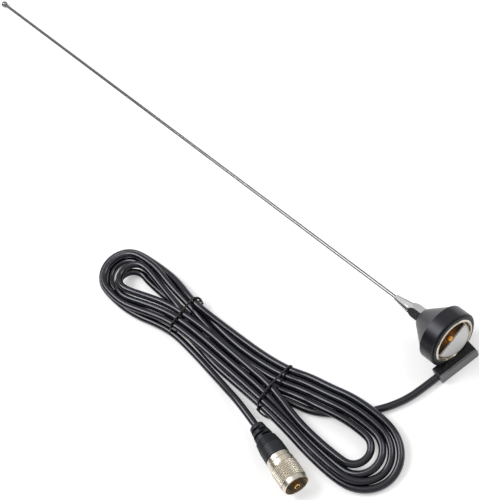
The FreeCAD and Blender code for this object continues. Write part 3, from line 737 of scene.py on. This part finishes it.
# Stage
def seen_light_only(nodes, links):
    """1 for rays from the camera, reflected or refracted, and 0 for light that falls on the object."""
    path = nodes.new("ShaderNodeLightPath")
    first = nodes.new("ShaderNodeMath")
    first.operation = "MAXIMUM"
    links.new(path.outputs["Is Camera Ray"], first.inputs[0])
    links.new(path.outputs["Is Glossy Ray"], first.inputs[1])
    both = nodes.new("ShaderNodeMath")
    both.operation = "MAXIMUM"
    links.new(first.outputs[0], both.inputs[0])
    links.new(path.outputs["Is Transmission Ray"], both.inputs[1])
    return both.outputs[0], path


def background(nodes, strength):
    """White background light."""
    light = nodes.new("ShaderNodeBackground")
    light.inputs["Color"].default_value = (1, 1, 1, 1)
    light.inputs["Strength"].default_value = strength
    return light


def choice_of(nodes, links, factor, first, second):
    """Shader that is the first where the factor is 0 and the second where it is 1."""
    choice = nodes.new("ShaderNodeMixShader")
    links.new(factor, choice.inputs[0])
    links.new(first.outputs[0], choice.inputs[1])
    links.new(second.outputs[0], choice.inputs[2])
    return choice


def room_light(nodes, links):
    """Background of the mirrored room, dark towards one side."""
    coords = nodes.new("ShaderNodeTexCoord")
    split = nodes.new("ShaderNodeSeparateXYZ")
    links.new(coords.outputs["Generated"], split.inputs["Vector"])
    room = ramp_of(nodes, [(height, grey(level)) for height, level in ROOM])
    links.new(split.outputs["Z"], room.inputs["Fac"])
    towards = nodes.new("ShaderNodeVectorMath")
    towards.operation = "DOT_PRODUCT"
    towards.inputs[1].default_value = Vector(DARK_SIDE).normalized()
    links.new(coords.outputs["Generated"], towards.inputs[0])
    door = ramp_of(nodes, [(closeness, grey(level)) for closeness, level in DOOR])
    links.new(towards.outputs["Value"], door.inputs["Fac"])
    both = product_of(nodes, links, room.outputs["Color"], door.outputs["Color"])
    light = background(nodes, 1.0)
    links.new(both.outputs["Result"], light.inputs["Color"])
    return light


def make_world():
    """White to the camera, softer as light, and in reflections white overhead with a darker room round it."""
    world = bpy.data.worlds.new("studio")
    world.use_nodes = True
    nodes, links = world.node_tree.nodes, world.node_tree.links
    nodes.clear()
    seen_factor, path = seen_light_only(nodes, links)
    plain_light = choice_of(nodes, links, seen_factor, background(nodes, WORLD_LEVEL), background(nodes, 1.0))
    with_room = choice_of(nodes, links, path.outputs["Is Glossy Ray"], plain_light, room_light(nodes, links))
    out = nodes.new("ShaderNodeOutputWorld")
    links.new(with_room.outputs[0], out.inputs["Surface"])
    bpy.context.scene.world = world


def make_floor():
    """White in view, growing with distance to the background's white, and plain paint as light."""
    bpy.ops.mesh.primitive_plane_add(size=FLOOR_SIZE, location=(0, 0, 0))
    floor = bpy.context.object
    floor.name = "floor"
    material = bpy.data.materials.new("floor_white")
    material.use_nodes = True
    nodes, links = material.node_tree.nodes, material.node_tree.links
    nodes.clear()
    paint = nodes.new("ShaderNodeBsdfDiffuse")
    paint.inputs["Color"].default_value = (*grey(FLOOR_PAINT), 1)
    lift = nodes.new("ShaderNodeEmission")
    lift.inputs["Color"].default_value = (1, 1, 1, 1)
    coords = nodes.new("ShaderNodeTexCoord")
    away = nodes.new("ShaderNodeVectorMath")
    away.operation = "LENGTH"
    links.new(coords.outputs["Object"], away.inputs[0])
    reach = nodes.new("ShaderNodeMapRange")
    reach.inputs["From Min"].default_value = FLOOR_NEAR
    reach.inputs["From Max"].default_value = FLOOR_FAR
    reach.inputs["To Min"].default_value = FLOOR_LIFT
    reach.inputs["To Max"].default_value = FLOOR_LIFT_FAR
    links.new(away.outputs["Value"], reach.inputs["Value"])
    scale = nodes.new("ShaderNodeMath")
    scale.operation = "MULTIPLY"
    links.new(reach.outputs["Result"], scale.inputs[1])
    seen_factor, _ = seen_light_only(nodes, links)
    links.new(seen_factor, scale.inputs[0])
    links.new(scale.outputs[0], lift.inputs["Strength"])
    both = nodes.new("ShaderNodeAddShader")
    links.new(paint.outputs[0], both.inputs[0])
    links.new(lift.outputs[0], both.inputs[1])
    out = nodes.new("ShaderNodeOutputMaterial")
    links.new(both.outputs[0], out.inputs["Surface"])
    floor.data.materials.append(material)


def make_lamp(name, place, aim, size, watts):
    data = bpy.data.lights.new(name, "AREA")
    data.shape = "RECTANGLE"
    data.size, data.size_y = size
    data.energy = watts
    lamp = collect(bpy.data.objects.new(name, data))
    lamp.location = place
    lamp.rotation_mode = "QUATERNION"
    lamp.rotation_quaternion = (Vector(aim) - Vector(place)).to_track_quat("-Z", "Y")


make_camera()
make_world()
make_floor()
make_lamp("key", **KEY_LAMP)
make_lamp("fill", **FILL_LAMP)
make_cable(make_nut(), make_boot())
make_tie("tie_far", FAR_TIE)
make_tie("tie_near", NEAR_TIE)
make_ring()
make_lid_highlight_bead()
dress_nodes()

bpy.context.scene.view_settings.view_transform = "Standard"
